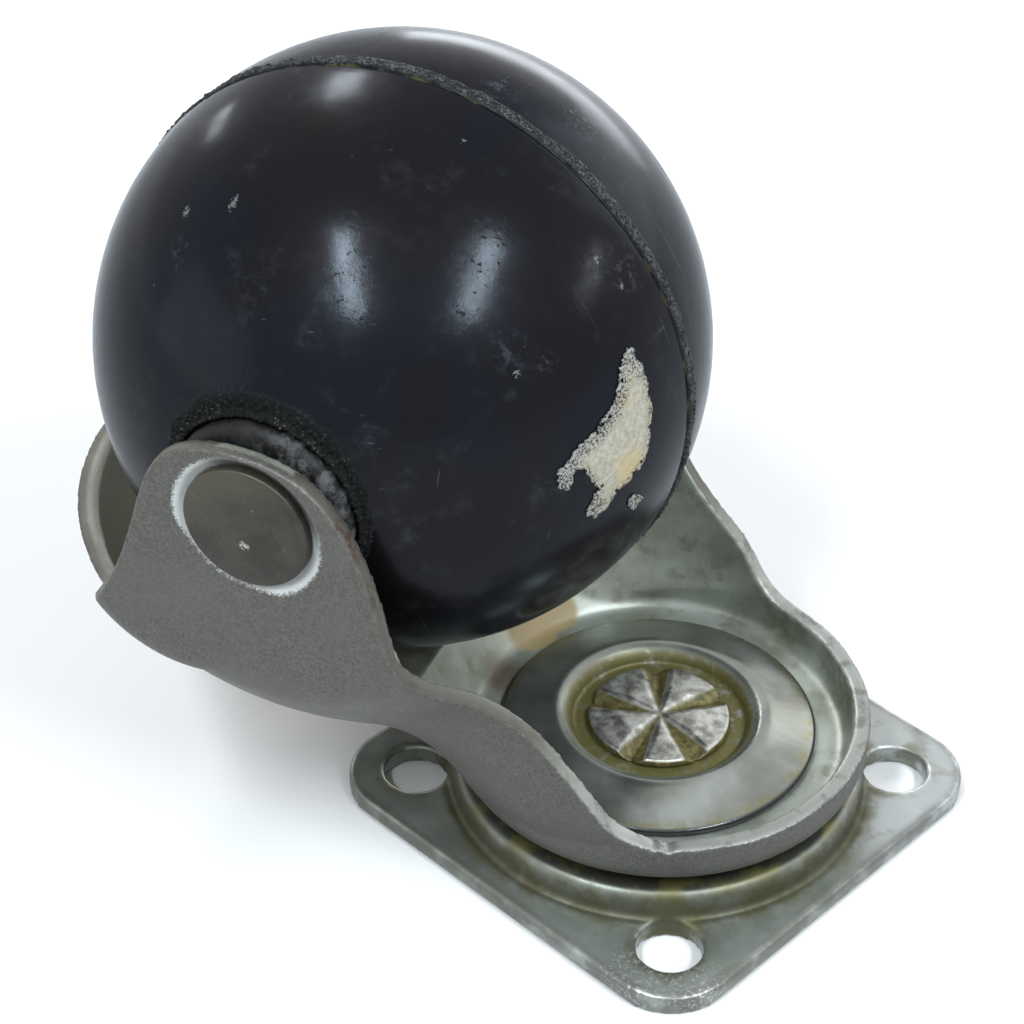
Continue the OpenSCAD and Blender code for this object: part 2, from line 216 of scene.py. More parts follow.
softbox("left_window", (0.127, -0.571, 0.811), (-0.70, 0.53, 0.48), 0.5, 0.05, 0.27, 2.0,
        WINDOW_BLUE)
softbox("right_window", (0.65, -0.008, 0.76), (-0.45, 0.8, 0.4), 0.5, 0.062, 0.27, 1.85,
        WINDOW_BLUE)
softbox("back_window", (-0.70, 0.38, 0.6), (-0.27, 0.64, -0.72), 0.6, 0.075, 0.15, 0.9)
softbox("back_glint", (-0.962, 0.177, 0.206), (0.03, 0.83, -0.56), 0.6, 0.035, 0.14, 0.2)
softbox("side_window", (0.12, 0.95, 0.3), (0, 0, 1), 0.6, 0.34, 0.36, 0.7)
softbox("far_window", (0.653, 0.642, 0.403), (-0.73, 0.67, 0.11), 0.7, 0.022, 0.24, 0.35)
softbox("low_strip", (-0.47, 0.88, 0.0), (0, 0, 1), 0.47, 0.3, 0.09, 0.6)
softbox("leg_fill", (-0.55, -0.83, 0.1), (0, 0, 1), 0.7, 0.5, 0.4, 0.64)
bpy.context.scene.view_settings.view_transform = "Standard"

# %% [markdown]
# Every finish here is a story of wear: a base metal or plastic, a coarse variation, a
# fine grain and some dirt. A few small helpers keep those node chains short. Each one
# adds a node and hands back its output.

# %% Helpers for finishes
class Finish:
    """A material with helpers that add nodes and hand back their output sockets."""

    def __init__(self, name, turned=0.0, centre=(0, 0, 0)):
        self.material = bpy.data.materials.new(name)
        self.material.use_nodes = True
        self.tree = self.material.node_tree
        self.shader = self.tree.nodes["Principled BSDF"]
        own = self.add("ShaderNodeTexCoord").outputs["Object"]
        turn = self.add("ShaderNodeVectorRotate", Vector=self.vector("SUBTRACT", own, centre),
                        Angle=-turned)
        turn.rotation_type = "Z_AXIS"
        self.place = turn.outputs[0]

    def add(self, kind, **inputs):
        """A node in this finish, with its inputs fed by name."""
        return node_of(self.tree, kind, **inputs)

    def vector(self, how, *values):
        """One sum on two vectors, such as ADD or SUBTRACT."""
        return sum_of(self.tree, "ShaderNodeVectorMath", how, *values).outputs[0]

    def number(self, how, *values):
        """A plain number worked out from vectors, such as LENGTH."""
        return sum_of(self.tree, "ShaderNodeVectorMath", how, *values).outputs["Value"]

    def calc(self, how, *values):
        """One sum on plain numbers."""
        return sum_of(self.tree, "ShaderNodeMath", how, *values).outputs[0]

    def set(self, **values):
        """Feeds the shader's inputs by name, with _ for a space."""
        for key, value in values.items():
            feed(self.tree, self.shader.inputs[key.replace("_", " ")], value)

    def grain(self, size_mm, detail=3.0, rough=0.55, squash=(1, 1, 1)):
        """Cloudy noise with grains of about a size, drawn out where squash is under 1."""
        stretch = self.add("ShaderNodeMapping", Vector=self.place, Scale=squash)
        return self.add("ShaderNodeTexNoise", Vector=stretch.outputs[0], Detail=detail,
                        Scale=1 / (size_mm * MM), Roughness=rough).outputs["Fac"]

    def specks(self, size_mm):
        """Distance to the nearest of many scattered points, 0 right on one."""
        return self.add("ShaderNodeTexVoronoi", Vector=self.place,
                        Scale=1 / (size_mm * MM)).outputs["Distance"]

    def fade(self, value, start, end, to_min=0.0, to_max=1.0):
        """A smooth ramp from to_min at start to to_max at end."""
        n = self.add("ShaderNodeMapRange", Value=value, From_Min=start, From_Max=end,
                     To_Min=to_min, To_Max=to_max)
        n.interpolation_type = "SMOOTHSTEP"
        return n.outputs[0]

    def chain(self, how, values):
        """One sum carried through a row of values, two at a time."""
        result = values[0]
        for value in values[1:]:
            result = self.calc(how, result, value)
        return result

    def most(self, *values):
        """The largest of several values."""
        return self.chain("MAXIMUM", values)

    def times(self, *values):
        """Several values multiplied together."""
        return self.chain("MULTIPLY", values)

    def blend(self, amount, a, b):
        """Colour a where the amount is 0, colour b where it is 1."""
        n = self.add("ShaderNodeMix")
        n.data_type = "RGBA"
        feed(self.tree, n.inputs[0], amount)
        for socket, colour in ((n.inputs[6], a), (n.inputs[7], b)):
            plain = not isinstance(colour, bpy.types.NodeSocket)
            feed(self.tree, socket, (*colour, 1) if plain else colour)
        return n.outputs[2]

    def reach(self, centre_mm=(0, 0, 0), axes=(1, 1, 1)):
        """Distance in mm from a point, or from a line through it where an axis is 0."""
        off = self.vector("SUBTRACT", self.place, Vector(centre_mm) * MM)
        return self.number("LENGTH", self.vector("MULTIPLY", off, Vector(axes) / MM))

    def spot(self, centre_mm, inner_mm, outer_mm):
        """1 inside a ball round a point, fading to 0 at its outer size."""
        return self.fade(self.reach(centre_mm), inner_mm, outer_mm, 1, 0)

    def level(self, direction):
        """How far along a direction a point lies, in mm."""
        return self.number("DOT_PRODUCT", self.place, Vector(direction) / MM)

    def mark(self, name):
        """Reads a number that write_mark stored on the mesh's points."""
        n = self.add("ShaderNodeAttribute")
        n.attribute_name = name
        return n.outputs["Fac"]

    def height(self, value, depth_mm, strength=1.0, under=None):
        """A bump, laid over another one where under is given."""
        n = self.add("ShaderNodeBump", Height=value, Distance=depth_mm * MM, Strength=strength)
        if under:
            feed(self.tree, n.inputs["Normal"], under)
        return n.outputs[0]


# %% [markdown]
# Pressed and moulded pieces have no sharp corners. The solid's triangles are merged,
# wrapped in a fine even net by a voxel remesh, and relaxed a little, which rounds
# every edge as a press tool does. A last collapse takes away the points that a
# nearly flat face doesn't need.

# %% Helper that softens a solid
def show(name, mesh, body, finish, replaces=()):
    """Puts a finished mesh on stage as a piece that rides on a body."""
    piece = bpy.data.objects.new(name, mesh)
    bpy.context.scene.collection.objects.link(piece)
    mesh.materials.clear()
    mesh.materials.append(finish.material)
    mesh.shade_smooth()
    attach(piece, body)
    if replaces:
        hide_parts(*replaces)
    print(f"{name}: {sum(len(p.vertices) - 2 for p in mesh.polygons)} triangles")


def with_modifiers(mesh, add):
    """Runs modifiers on a throwaway object and returns the resulting mesh."""
    carrier = bpy.data.objects.new("carrier", mesh)
    bpy.context.scene.collection.objects.link(carrier)
    add(carrier)
    bpy.context.view_layer.update()
    graph = bpy.context.evaluated_depsgraph_get()
    result = bpy.data.meshes.new_from_object(carrier.evaluated_get(graph))
    bpy.data.objects.remove(carrier)
    return result


def merged(node):
    """A copy of a CAD node's mesh with its loose triangles joined."""
    mesh = nodes[node].data.copy()
    bm = bmesh.new()
    bm.from_mesh(mesh)
    bmesh.ops.remove_doubles(bm, verts=bm.verts, dist=1e-6)
    bm.to_mesh(mesh)
    bm.free()
    mesh.materials.clear()
    return mesh


def softened(node, net_mm, rounds, most_triangles=180000):
    """A voxel net over the node's solid, relaxed, then thinned to a limit."""
    def wrap(carrier):
        m = carrier.modifiers.new("net", "REMESH")
        m.mode = "VOXEL"
        m.voxel_size = net_mm * MM
        m.adaptivity = 0
    mesh = with_modifiers(merged(node), wrap)
    bm = bmesh.new()
    bm.from_mesh(mesh)
    for _ in range(rounds):
        bmesh.ops.smooth_vert(bm, verts=bm.verts, factor=0.5,
                              use_axis_x=True, use_axis_y=True, use_axis_z=True)
    bm.to_mesh(mesh)
    bm.free()
    full = 2 * len(mesh.polygons)
    if full > most_triangles:
        def thin(carrier):
            m = carrier.modifiers.new("thin", "DECIMATE")
            m.ratio = most_triangles / full
        mesh = with_modifiers(mesh, thin)
    return mesh


def write_mark(mesh, name, values):
    """Stores one number per point, for a finish to read."""
    layer = mesh.attributes.new(name, "FLOAT", "POINT")
    layer.data.foreach_set("value", np.asarray(values, np.float32))


def points_of(mesh):
    """Every point's place, as an array of rows."""
    co = np.zeros(len(mesh.vertices) * 3, np.float32)
    mesh.vertices.foreach_get("co", co)
    return co.reshape(-1, 3).astype(float)


def put_points(mesh, co):
    """Moves every point to its row of an array."""
    mesh.vertices.foreach_set("co", np.asarray(co, np.float32).ravel())
    mesh.update()


def smoothstep(x, a, b):
    """0 at a, 1 at b, with soft ends."""
    t = np.clip((x - a) / (b - a), 0, 1)
    return t * t * (3 - 2 * t)


def noise_at(co, size_mm, octaves=1):
    """Smooth noise, or its rougher fractal sum, at each point."""
    if octaves == 1:
        return np.array([noise.noise(Vector(p) / (size_mm * MM)) for p in co])
    return np.array([noise.fractal(Vector(p) / (size_mm * MM), 1.0, 2.0, octaves) for p in co])


# %% [markdown]
# The ball is a solid black moulding. Two mould halves met on the great circle between
# the hubs and left a ragged ridge, and torn flash and crumbs stand round each hub.
# A half profile from hub to hub is spun round the axle, with rings close together
# where something is rough, and noise then tears the ridge and the rings point by point.

# %% The ball's profile
HUB_SEAT = 23.6 * MM  # how far along the axle the bush's seat lies
FINE_STEP, FINE_RINGS = 0.11, 16  # close rings over the mould ridge, in mm
PLAIN_FROM, PLAIN_TO, PLAIN_RINGS = 1.95, 11.3, 17  # wide rings over the smooth skin
CRUMB_STEP, CRUMB_RINGS = 0.13, 22  # close rings again round the hub
BALL_STEPS = 680  # points on each ring


def on_ball(r_mm):
    """The ball's skin at a distance out from the axle."""
    return math.sqrt(ball_r ** 2 - (r_mm * MM) ** 2), r_mm * MM


def ball_profile():
    """Points (along the axle, out from it) from the far hub's rim to the near one's."""
    half = [(i * FINE_STEP * MM, None) for i in range(FINE_RINGS)]
    first, last = math.asin(PLAIN_FROM * MM / ball_r), math.acos(PLAIN_TO * MM / ball_r)
    half += [(ball_r * math.sin(first + (last - first) * i / PLAIN_RINGS), None)
             for i in range(PLAIN_RINGS + 1)]
    half += [on_ball(11.1 - i * CRUMB_STEP) for i in range(CRUMB_RINGS)]
    half += [(23.85 * MM, 8.2 * MM), (24.02 * MM, 8.1 * MM), (24.1 * MM, 7.95 * MM),
             (24.0 * MM, 7.84 * MM), (23.8 * MM, 7.76 * MM), (HUB_SEAT, 7.72 * MM),
             (HUB_SEAT, 6.6 * MM), (HUB_SEAT, 5.5 * MM)]
    full = [(-s, r) for s, r in reversed(half[1:])] + half
    return [(s, r if r is not None else math.sqrt(ball_r ** 2 - s * s)) for s, r in full]


profile = ball_profile()
sideways = axle.cross(Vector((0, 0, 1))).normalized()
bm = bmesh.new()
ring = [bm.verts.new(ball_centre + axle * s + sideways * r) for s, r in profile]
strand = [bm.edges.new(pair) for pair in zip(ring, ring[1:])]
bmesh.ops.spin(bm, geom=ring + strand, cent=ball_centre, axis=axle, angle=2 * math.pi,
               steps=BALL_STEPS, use_merge=True, use_duplicate=False)
bmesh.ops.remove_doubles(bm, verts=bm.verts, dist=1e-7)
bmesh.ops.holes_fill(bm, edges=[e for e in bm.edges if e.is_boundary], sides=0)
bmesh.ops.recalc_face_normals(bm, faces=bm.faces)
ball_mesh = bpy.data.meshes.new("ball")
bm.to_mesh(ball_mesh)
bm.free()
print(f"{len(profile)} points in the profile, spun in {BALL_STEPS} steps")

# %% [markdown]
# A mould leaves its marks unevenly. Every point is pushed out or in by noise: slow
# noise lets the ridge wander and swell, lumps and torn noise break it up, a groove
# runs along one side of it, and crumbs thin out away from each hub. How strong each
# mark is goes onto the points too, so that the finish can follow the shape.

# %% Ridge, torn rings and crumbs
RIDGE_REACH, RIDGE_TOP = 1.7, 0.29  # mm from the parting line, and most lift
co = points_of(ball_mesh)
rel = co - np.array(ball_centre)
s = rel @ np.array(axle) / MM
out = rel - (s * MM)[:, None] * np.array(axle)
r = np.linalg.norm(out, axis=1) / MM
unit = out / np.maximum(r * MM, 1e-9)[:, None]
axle_way = np.sign(s)[:, None] * np.array(axle)
slow = noise_at(unit * ball_r, 5)
lumps = noise_at(unit * ball_r, 1.1)
torn = noise_at(co, 0.26, 3)
middle = s + slow * 0.16 + lumps * 0.14
width = 0.5 + 0.1 * slow + 0.1 * lumps
on_ridge = 1 - smoothstep(np.abs(middle), width - 0.12, width + 0.1)
lift = on_ridge * (0.13 + 0.07 * slow + torn * 0.2)
groove = np.exp(-((middle - width - 0.19) / 0.17) ** 2)
groove *= 0.45 + 0.55 * smoothstep(slow + 0.5 * lumps, -0.2, 0.2)
by_ridge = np.abs(s) < RIDGE_REACH
rise = np.where(by_ridge, np.clip(lift - groove * 0.28, -0.3, RIDGE_TOP), 0)
turned_up = unit @ np.array([0, 0, 1.0])
crumb_reach = 0.25 + 0.75 * smoothstep(turned_up + 0.5 * slow, -0.1, 0.9)
crumbs = np.exp(-(np.maximum(r - 8.3, 0) / crumb_reach) ** 2) * (r > 8.25) * (np.abs(s) > 20)
heap = crumbs * np.clip(torn * 0.6, 0, 0.4)
co += (rel / ball_r) * ((heap + rise) * MM)[:, None]
lip = smoothstep(np.abs(s), 23.5, 23.7) * smoothstep(r, 7.74, 7.82) * (r < 8.24)
co += axle_way * (lip * torn * 0.17 * MM)[:, None]
co += unit * (lip * noise_at(co, 0.3) * 0.12 * MM)[:, None]
put_points(ball_mesh, co)
write_mark(ball_mesh, "ridge", on_ridge)
write_mark(ball_mesh, "groove", np.where(by_ridge, groove, 0))
write_mark(ball_mesh, "crumbs", np.maximum(crumbs, lip))
print(f"ball: {len(co)} points, ridge lifts to {rise.max():.2f} mm")

# %% [markdown]
# The ball's black is glossy where it is untouched and hazy where it has been handled.
# Plastic reflects only a little of what it faces, and far more at a glancing angle, so
# its index is kept low and a tint above 1 lifts the middle. A sharp gloss gives the
# window glints, and a dull coat over it gives their bluish halo. Pits, scratches and
# dust sit where the real ball was knocked, so they are placed by direction.

# %% Finish of the ball
WARM_BLACK, COLD_BLACK = (0.004, 0.0022, 0.0028), (0.0018, 0.0026, 0.005)
RUBBED, BRUISED, SCRATCHED = (0.02, 0.02, 0.022), (0.045, 0.049, 0.056), (0.05, 0.05, 0.055)
DUST, TORN_BLACK, TORN_GREY = (0.16, 0.155, 0.14), (0.008, 0.008, 0.008), (0.13, 0.128, 0.122)
GROOVE_PAINTED_SHADE, GROOVE_OLIVE = (0.0012, 0.0012, 0.0012), (0.06, 0.056, 0.02)
CRUMB_BLACK, CRUMB_PALE = (0.0035, 0.0035, 0.003), (0.19, 0.18, 0.10)
black = Finish("ball_black", fork_turn, ball_centre)
haze = black.grain(9, 5, 0.65)
scuff = black.grain(2.6, 6, 0.72)
pit = black.grain(0.55, 4, 0.7)
speck = black.grain(0.3, 3, 0.7)


def patches(finish, places):
    """Fades from 1 at each listed direction on the ball to 0 at its own distance in mm."""
    return finish.most(*[finish.spot(Vector(d) * BALL_R_MM, 0, size) for d, size in places])


knocked = patches(black, [
    ((-0.118, 0.603, 0.789), 2.2), ((-0.163, 0.684, 0.711), 2.6), ((-0.198, 0.745, 0.637), 2.4),
    ((-0.499, 0.409, 0.764), 2.4), ((-0.493, 0.5, 0.712), 2.8), ((-0.495, 0.608, 0.621), 2.2),
    ((-0.805, 0.133, 0.579), 3.0), ((-0.751, 0.219, 0.623), 2.0), ((-0.634, 0.579, 0.513), 2.2),
    ((-0.714, 0.519, 0.47), 1.6), ((0.416, 0.663, 0.622), 1.5), ((-0.531, -0.2, 0.82), 3.2),
    ((-0.291, -0.086, 0.953), 2.6)])
dents = black.times(knocked, black.fade(pit, 0.6, 0.72))
bruise = black.times(knocked, black.fade(black.grain(0.9, 4, 0.7), 0.5, 0.62))
nearest = None
for d, size in [((0.279, 0.571, 0.772), 0.5), ((0.443, 0.57, 0.692), 0.45),
                ((-0.66, 0.6, 0.45), 0.3), ((-0.813, 0.18, 0.555), 0.35),
                ((-0.74, 0.2, 0.64), 0.4), ((-0.3, 0.2, 0.935), 0.25)]:
    away = black.calc("DIVIDE", black.reach(Vector(d) * BALL_R_MM, (1.5, 1, 0.8)), size)
    nearest = away if nearest is None else black.calc("MINIMUM", nearest, away)
dots = black.calc("ADD", nearest, black.fade(speck, 0.3, 0.7, -0.9, 0.9))
dots = black.fade(dots, 0.8, 0.35)
dust = black.specks(1.9)
dust = black.calc("SUBTRACT", dust, black.fade(black.grain(2.6, 1), 0.55, 0.8, 0.0, 0.07))
dust = black.fade(dust, 0.015, 0.0)
lines = [black.grain(0.4, 2, 0.5, squash)
         for squash in ((1, 0.02, 0.06), (0.03, 1, 0.04), (0.3, 0.05, 1))]
hair = black.most(*[black.fade(line, 0.72, 0.75) for line in lines])
hair = black.times(hair, black.fade(haze, 0.5, 0.6))
ridge_mark, groove_mark, crumb_mark = [black.mark(m) for m in ("ridge", "groove", "crumbs")]
worn = black.times(black.fade(scuff, 0.5, 0.78), black.fade(haze, 0.4, 0.62))
skin = black.blend(black.fade(black.grain(14, 2), 0.35, 0.65), WARM_BLACK, COLD_BLACK)
skin = black.blend(worn, skin, RUBBED)
skin = black.blend(black.times(bruise, 0.5), skin, BRUISED)
skin = black.blend(black.times(hair, 0.5), skin, SCRATCHED)
skin = black.blend(black.most(dust, black.times(dots, 0.75)), skin, DUST)
torn_speck = black.times(black.fade(black.grain(0.2, 3, 0.75), 0.42, 0.68),
                         black.fade(black.grain(1.5, 3), 0.3, 0.6, 0.35, 1))
skin = black.blend(ridge_mark, skin, black.blend(torn_speck, TORN_BLACK, TORN_GREY))
# Along the groove beside the ridge: painted shade, near-black where the step shades it, with olive
# dirt in places.
olive = black.blend(black.fade(black.grain(2.2), 0.54, 0.64), GROOVE_PAINTED_SHADE, GROOVE_OLIVE)
skin = black.blend(black.fade(groove_mark, 0.15, 0.6), skin, olive)
crumb_speck = black.times(black.fade(black.grain(0.24, 3, 0.8), 0.59, 0.69),
                          black.fade(scuff, 0.44, 0.6))
crumbly = black.fade(crumb_mark, 0.05, 0.4)
skin = black.blend(crumbly, skin, black.blend(crumb_speck, CRUMB_BLACK, CRUMB_PALE))
handled = black.calc("ADD", black.times(haze, 0.6), black.times(scuff, 0.6))
rough_value = black.most(
    black.fade(handled, 0.42, 0.85, 0.14, 0.27), black.times(black.most(hair, dust, dots), 0.5),
    black.times(bruise, 0.3), black.times(ridge_mark, 0.75), black.times(crumbly, 0.85),
    black.times(groove_mark, 0.9))
bumps = black.height(black.grain(1.3, 2, 0.5), 0.012, 0.4)
bumps = black.height(dents, 0.06, 0.8, black.height(black.times(knocked, pit), 0.03, 0.5, bumps))
bumps = black.height(worn, 0.01, 0.5, bumps)
ragged = black.times(black.most(ridge_mark, crumbly), black.grain(0.16, 3, 0.7))
bumps = black.height(ragged, 0.12, 0.8, bumps)
black.set(Base_Color=skin, Roughness=rough_value, Normal=bumps, Specular_IOR_Level=0.018,
          Specular_Tint=(6.3, 6.8, 7.4, 1), Coat_Weight=0.4, Coat_Roughness=0.4, Coat_IOR=1.17,
          Coat_Tint=(0.8, 0.9, 1, 1))
show("ball", ball_mesh, "wheel", black, ["ball_wheel"])

# %% [markdown]
# A scrap of the paper that the ball was wrapped in is still stuck to it. It is thin,
# torn to fibres along its edge, and yellowed by glue in the middle. A fine grid is
# cut to the scrap's outline and laid on the ball, and an extrude gives it thickness.

# %% The paper scrap's outline
PAPER_AT = Vector((-0.906, 0.384, 0.18)).normalized()
PAPER_ACROSS = Vector((-0.39, -0.921, 0)).normalized()
PAPER_UP = Vector((0.166, -0.07, 0.984)).normalized()
SCRAP = [(2.3, 6.1), (3.1, 5.6), (2.9, 4.9), (3.5, 4.2), (3.6, 3.0), (3.8, 2.2), (3.5, 1.6),
         (3.9, 0.6), (3.7, -0.3), (3.4, -1.5), (3.2, -2.9), (2.6, -4.0), (1.9, -4.5), (1.2, -5.0),
         (0.2, -5.3), (-0.6, -5.6), (-1.1, -6.4), (-1.7, -6.7), (-2.6, -7.1), (-3.4, -6.4),
         (-3.5, -5.7), (-3.0, -5.2), (-2.8, -4.4), (-2.4, -4.2), (-3.2, -3.1), (-3.7, -1.9),
         (-4.2, -1.6), (-4.6, -2.1), (-4.9, -3.0), (-5.3, -3.1), (-6.1, -2.5), (-6.1, -1.5),
         (-6.0, -0.8), (-5.2, -0.6), (-4.9, -0.2), (-4.2, 0.4), (-3.4, 0.7), (-2.2, 1.2),
         (-1.8, 1.7), (-1.2, 1.9), (-0.7, 2.1), (0, 2.9), (0.6, 3.9), (0.9, 4.8), (1.6, 5.4)]
CRUMB = [(1.8, -6.6), (3.1, -7.7), (3.0, -8.3), (2.3, -8.3), (2.0, -8.8), (1.2, -7.9),
         (1.0, -7.0), (1.4, -6.8)]


def depth_in(outline, p):
    """Distance of each point from a closed outline, positive inside it."""
    a = np.array(outline)
    b = np.roll(a, -1, 0)
    ab, ap = b - a, p[:, None] - a
    t = np.clip((ap * ab).sum(2) / (ab * ab).sum(1), 0, 1)
    away = np.linalg.norm(ap - t[..., None] * ab, axis=2).min(1)
    crosses = (a[:, 1] > p[:, 1, None]) != (b[:, 1] > p[:, 1, None])
    x_at = a[:, 0] + (p[:, 1, None] - a[:, 1]) / np.where(ab[:, 1] == 0, 1e-9, ab[:, 1]) * ab[:, 0]
    return np.where((crosses & (p[:, 0, None] < x_at)).sum(1) % 2 == 1, away, -away)


def scrap_depth(bm):
    """Each point's place on the flat sheet, and how deep it lies inside a torn outline."""
    flat = np.array([v.co[:2] for v in bm.verts])
    return flat, np.maximum(depth_in(SCRAP, flat), depth_in(CRUMB, flat))


print(f"the scrap has {len(SCRAP)} corners, the crumb beside it {len(CRUMB)}")

# %% [markdown]
# The points that fall outside the torn outline are deleted, and fibre noise eats into
# its edge. The flat sheet is then wrapped on: each point goes as far round the ball
# as it lay from the sheet's middle. Two marks, torn edge and worn thin, go with it.

# %% The paper scrap on the ball
GRID_HALF, GRID_MIDDLE = (5.7, 8.1, 1), (-1.1, -1.3, 0)
bm = bmesh.new()
torn_edge = bm.verts.layers.float.new("torn_edge")
worn_thin = bm.verts.layers.float.new("worn_thin")
bmesh.ops.create_grid(bm, x_segments=76, y_segments=108, size=1)
bmesh.ops.scale(bm, verts=bm.verts, vec=GRID_HALF)
bmesh.ops.translate(bm, verts=bm.verts, vec=GRID_MIDDLE)
flat, depth = scrap_depth(bm)
fibre = np.array([noise.fractal(Vector((x * 2.2, y * 2.2, 0)), 1.0, 2.0, 4) for x, y in flat])
keep = (depth + fibre * 0.16 > 0.02) & ((fibre < 0.62) | (depth > 0.5))
bmesh.ops.delete(bm, geom=[v for v, k in zip(bm.verts, keep) if not k], context="VERTS")
loose = [v for v in bm.verts if len(v.link_faces) == 0]
bmesh.ops.delete(bm, geom=loose, context="VERTS")
bmesh.ops.smooth_vert(bm, verts=[v for v in bm.verts if v.is_boundary], factor=0.5,
                      use_axis_x=True, use_axis_y=True)
raised = bmesh.ops.extrude_face_region(bm, geom=bm.faces[:], use_keep_orig=True)
top = {g for g in raised["geom"] if isinstance(g, bmesh.types.BMVert)}
flat, depth = scrap_depth(bm)
thin_line = np.array(SCRAP[-15:] + SCRAP[:4]
                     + [(-2.4, -6.5), (-3.1, -5.9), (-5.7, -2), (1.8, -7.8), (2.4, -8)])
thin = np.linalg.norm(flat[:, None] - thin_line, axis=2).min(1)
for v, (p, q), d, t in zip(bm.verts, flat, depth, thin):
    way = PAPER_ACROSS * p + PAPER_UP * q
    angle = way.length / BALL_R_MM
    outward = way.normalized() if way.length else way
    direction = PAPER_AT * math.cos(angle) + outward * math.sin(angle)
    crinkle = noise.fractal(Vector((p * 1.4, q * 1.4, 3)), 1.0, 2.0, 3)
    bump = 0.13 + 0.05 * crinkle + 0.05 * (d < 0.5)
    lifted = ball_r + (bump if v in top else -0.01) * MM
    v[worn_thin] = 1 - min(max((t - 0.3) / 1.7, 0), 1)
    v[torn_edge] = 1 - min(max(d / 1.3, 0), 1)
    v.co = ball_centre + fork_to_row @ (direction * lifted)
bmesh.ops.recalc_face_normals(bm, faces=bm.faces)
paper_mesh = bpy.data.meshes.new("paper_scrap")
bm.to_mesh(paper_mesh)
bm.free()
print(f"paper: {len(paper_mesh.vertices)} points")

# %% [markdown]
# Dry paper is matt and slightly fibrous. The finish runs from pale pulp to the brown
# of old glue in two places, and shows the black ball through where it is rubbed away.

# %% Finish of the paper
PULP_DARK, PULP_PALE, PULP_THIN = (0.25, 0.24, 0.19), (0.41, 0.395, 0.33), (0.30, 0.30, 0.285)
GLUE_BROWN, BALL_SHOWING = (0.42, 0.33, 0.17), (0.03, 0.03, 0.029)
paper = Finish("paper", fork_turn, ball_centre)
edge_mark, thin_mark = paper.mark("torn_edge"), paper.mark("worn_thin")
stain = paper.grain(3.0, 4, 0.6)
fibres = paper.grain(0.4, 5, 0.75)
fleck = paper.grain(0.2, 3, 0.75)
colour = paper.blend(paper.fade(fibres, 0.3, 0.7), PULP_DARK, PULP_PALE)
glue = paper.most(paper.spot(Vector((-0.93, 0.355, -0.02)) * BALL_R_MM, 1, 4.2),
                  paper.spot(Vector((-0.87, 0.33, 0.3)) * BALL_R_MM, 0.5, 2.4))
colour = paper.blend(paper.times(glue, paper.fade(stain, 0.38, 0.62), 0.85), colour, GLUE_BROWN)
colour = paper.blend(paper.fade(thin_mark, 0.2, 1, 0, 0.7), colour, PULP_THIN)
gone = paper.most(thin_mark, paper.times(edge_mark, 0.7))
gone = paper.times(gone, paper.fade(fleck, 0.46, 0.58))
colour = paper.blend(paper.fade(gone, 0.12, 0.55), colour, BALL_SHOWING)
paper.set(Base_Color=colour, Roughness=0.85, Specular_IOR_Level=0.25,
          Normal=paper.height(fibres, 0.08, 0.9, paper.height(stain, 0.1, 0.5)))
show("paper_scrap", paper_mesh, "wheel", paper)

# %% [markdown]
# The fork began as one flat blank. The press drew a round dish for the kingpin and a
# hood that hugs the ball, with a neck between them, so its forms run into each other
# with soft bends. To give each face its own finish, the distance of every point from
# the pressing's filled shape is worked out, once for its outer face and once for its
# inner one. Where a point faces across both, it is on a cut edge.

# %% Which face of the fork a point is on
# Lengths of the pressing in mm, as its solid has them.
HOOD_R, CHEEK_Y, CHEEK_BEND, SHEET = 31.2, 27.0, 8.0, 1.5
DISH_R, DISH_Z, DISH_BEND = 17.9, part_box("fork")[0].z / MM, 2.8
NECK_R, SWEEP, NECK_X, NECK_Z = 18.6, 14.0, 1.0, DISH_Z + 9
LOBE_R, LOBE_BEND, LOBE_SET = 8.3, 3.0, 6.4


def fork_gap(p, skin):
    """Signed distance in mm from the pressing's filled shape, its faces drawn in by skin."""
    x, y, z = p.T
    u, w, a = x - TRAIL, z - AXLE_Z, np.abs(y)
    r, half, big, bend = np.hypot(u, w), CHEEK_Y - skin, HOOD_R - skin, CHEEK_BEND - skin
    flat = math.sqrt((big - bend) ** 2 - (half - bend) ** 2)
    on_bend = (a - half + bend) * flat > (r - flat) * (half - bend)
    # The hood: a flat cheek, a bend round it, then part of a ball.
    hood = np.where(r <= flat, a - half, np.where(
        on_bend, np.hypot(r - flat, a - half + bend) - bend, np.hypot(r, a) - big))
    # The lobe at the cheek's rear corner: a thick disc with a bent edge.
    rl, lb = np.hypot(u - LOBE_SET, w + LOBE_SET), LOBE_BEND - skin
    lobe = np.where(rl <= LOBE_R, a - half, np.where(
        a > half - lb, np.hypot(rl - LOBE_R, a - half + lb) - lb, rl - LOBE_R - lb))
    # The neck: a round bar that swells into the hood along a hollow sweep.
    along = np.array([TRAIL - NECK_X, AXLE_Z - NECK_Z])
    long = np.linalg.norm(along)
    s = -(u * along[0] + w * along[1]) / long
    h = np.sqrt(np.maximum(u * u + w * w + y * y - s * s, 0))
    nr, sweep = NECK_R - skin, SWEEP + skin
    swell = math.sqrt((big + sweep) ** 2 - (nr + sweep) ** 2)
    hollow = sweep - np.hypot(s - swell, nr + sweep - h)
    neck = np.where(s > long, np.hypot(s - long, h) - nr, np.where(
        s > swell, h - nr, np.where(s > swell * big / (big + sweep), hollow, np.hypot(s, h) - big)))
    neck = np.maximum(np.maximum(neck, DISH_Z + skin - z), a - half)
    # The dish: a flat round pan with a bent foot.
    rho, db = np.hypot(x, y), DISH_BEND - skin
    dx, dz = rho - DISH_R + DISH_BEND, DISH_Z + DISH_BEND - z
    dish = np.where((dx > 0) & (dz > 0), np.hypot(dx, dz) - db,
                    np.maximum(rho - DISH_R + skin, DISH_Z + skin - z))
    return np.min([hood, lobe, neck, np.maximum(dish, z - NECK_Z - skin)], axis=0)


